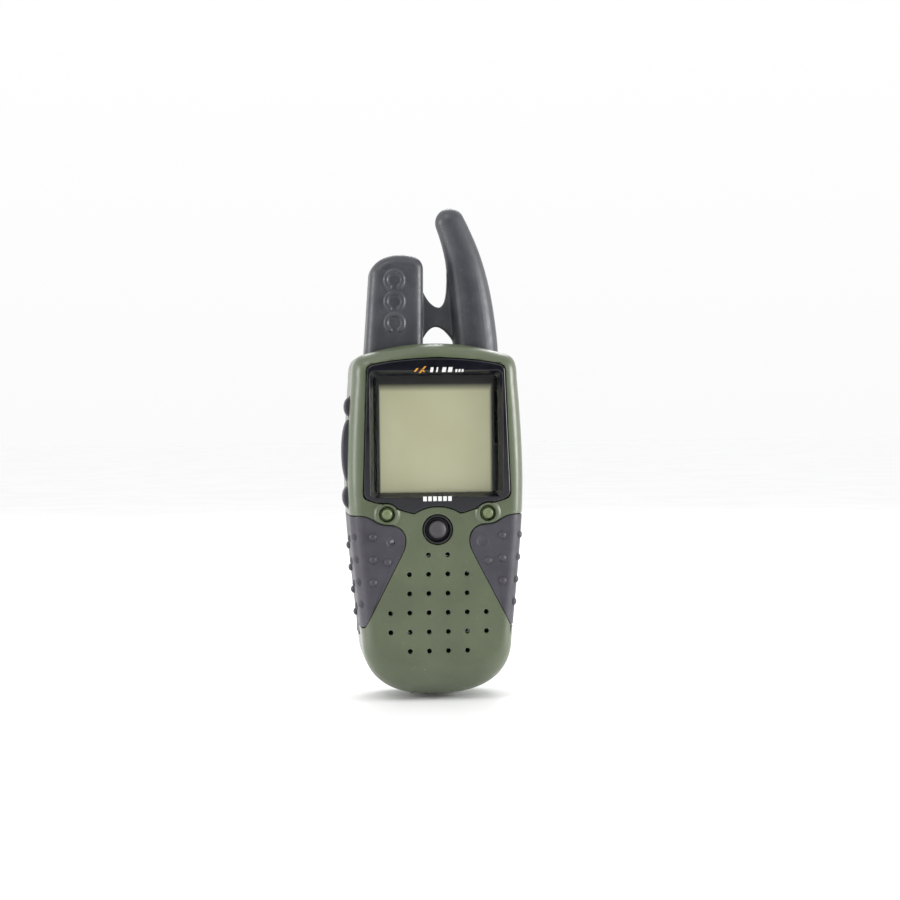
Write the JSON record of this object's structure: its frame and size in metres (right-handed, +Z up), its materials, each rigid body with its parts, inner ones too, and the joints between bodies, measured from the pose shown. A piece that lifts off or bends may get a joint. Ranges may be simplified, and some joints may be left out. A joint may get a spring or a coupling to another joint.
{
  "type": "handheld radio navigator",
  "caption": "Upright handheld two-way radio and satellite navigator with recessed screen, stick and keys, twin top antennas, side grips and a hinged battery door.",
  "frame": {"origin": "middle of the belt clip button's flat rear face", "axes": "+X to the viewer's right when looking at the screen, +Y out of the back, +Z up towards the antennas"},
  "size_m": [0.0583, 0.0416, 0.16],
  "materials": {
    "green_plastic": "satin olive green, fine moulded grain",
    "grip_rubber": "matt dark grey overmoulded rubber",
    "antenna_rubber": "satin dark grey rubber",
    "stick_rubber": "satin",
    "seal_rubber": "matt",
    "gloss_black": "high gloss",
    "clear_window": "clear, polished",
    "display": "reflective grey-green liquid crystal",
    "light_guide": "milky",
    "key_green": "translucent satin",
    "black_plastic": "satin",
    "ceramic": "fired ceramic",
    "copper": "drawn wire",
    "steel": "plain",
    "tin": "tinned sheet",
    "circuit": "solder-masked laminate",
    "cone_paper": "coated paper",
    "cell_wrap": "printed film"
  },
  "bodies": {
    "root": {"front_housing": "green_plastic", "rear_housing": "green_plastic", "housing_gasket": "seal_rubber", "left_grip": "grip_rubber", "right_grip": "grip_rubber", "screen_bezel": "gloss_black", "screen_window": "clear_window", "lcd_panel": "display", "lcd_backlight": "light_guide", "antenna_cover": "antenna_rubber", "nav_antenna_element": "ceramic", "radio_antenna_element": "copper", "key_dome_left": "steel", "key_dome_right": "steel", "key_board": "circuit", "stick_well": "black_plastic", "stick_switch_box": "black_plastic", "side_switch_board": "circuit", "speaker_basket": "tin", "speaker_cone": "cone_paper", "speaker_magnet": "steel", "microphone": "tin", "main_board": "circuit", "radio_shield": "tin", "navigator_shield": "tin", "cell_1": "cell_wrap", "cell_2": "cell_wrap", "cell_3": "cell_wrap", "cell_contact_lower": "tin", "cell_contact_upper": "tin", "data_socket": "black_plastic", "headset_socket": "black_plastic", "belt_clip_button": "black_plastic", "belt_clip_screw": "steel", "case_screw_top_1": "steel", "case_screw_top_2": "steel", "case_screw_low_1": "steel", "case_screw_low_2": "steel"},
    "left_key": {"front_key_left": "key_green"},
    "right_key": {"front_key_right": "key_green"},
    "stick_base": {"stick_plunger": "steel"},
    "stick_gimbal": {"stick_yoke": "steel"},
    "stick": {"stick_stem": "steel", "stick_cap": "stick_rubber"},
    "upper_side_key": {"side_key_upper": "grip_rubber"},
    "talk_button": {"talk_key": "grip_rubber"},
    "lower_side_key": {"side_key_lower": "grip_rubber"},
    "door": {"battery_door": "green_plastic"},
    "latch": {"latch_rotor": "black_plastic", "latch_tongue": "steel"},
    "ring": {"pull_ring": "steel"},
    "cap": {"port_cap": "grip_rubber"}
  },
  "joints": [
    {"name": "left_key_press", "type": "slide", "parent": "root", "child": "left_key", "axis": [0, 1, 0], "range_m": [0, 0.0006], "stiffness_N_per_m": 3000},
    {"name": "right_key_press", "type": "slide", "parent": "root", "child": "right_key", "axis": [0, 1, 0], "range_m": [0, 0.0006], "stiffness_N_per_m": 3000},
    {"name": "stick_press", "type": "slide", "parent": "root", "child": "stick_base", "axis": [0, 1, 0], "range_m": [0, 0.0004], "stiffness_N_per_m": 4000},
    {"name": "stick_up_down", "type": "hinge", "parent": "stick_base", "child": "stick_gimbal", "pos_m": [0, -0.0343, -0.0397], "axis": [1, 0, 0], "range_deg": [-8, 8], "stiffness_Nm_per_rad": 0.05},
    {"name": "stick_left_right", "type": "hinge", "parent": "stick_gimbal", "child": "stick", "pos_m": [0, -0.0343, -0.0397], "axis": [0, 0, 1], "range_deg": [-8, 8], "stiffness_Nm_per_rad": 0.05},
    {"name": "upper_side_key_press", "type": "slide", "parent": "root", "child": "upper_side_key", "axis": [1, 0, 0], "range_m": [0, 0.0009], "stiffness_N_per_m": 2500},
    {"name": "talk_press", "type": "slide", "parent": "root", "child": "talk_button", "axis": [1, 0, 0], "range_m": [0, 0.0009], "stiffness_N_per_m": 2500},
    {"name": "lower_side_key_press", "type": "slide", "parent": "root", "child": "lower_side_key", "axis": [1, 0, 0], "range_m": [0, 0.0009], "stiffness_N_per_m": 2500},
    {"name": "door_swing", "type": "hinge", "parent": "root", "child": "door", "pos_m": [0, -0.007, -0.0142], "axis": [1, 0, 0], "range_deg": [0, 80]},
    {"name": "latch_turn", "type": "hinge", "parent": "door", "child": "latch", "pos_m": [0, -0.009, -0.077], "axis": [0, 1, 0], "range_deg": [0, 90]},
    {"name": "ring_fold", "type": "hinge", "parent": "latch", "child": "ring", "pos_m": [0, -0.0064, -0.077], "axis": [1, 0, 0], "range_deg": [0, 100]},
    {"name": "cap_swing", "type": "hinge", "parent": "root", "child": "cap", "pos_m": [0.0268, -0.0173, 0.0025], "axis": [0, -1, 0], "range_deg": [0, 85]}
  ]
}
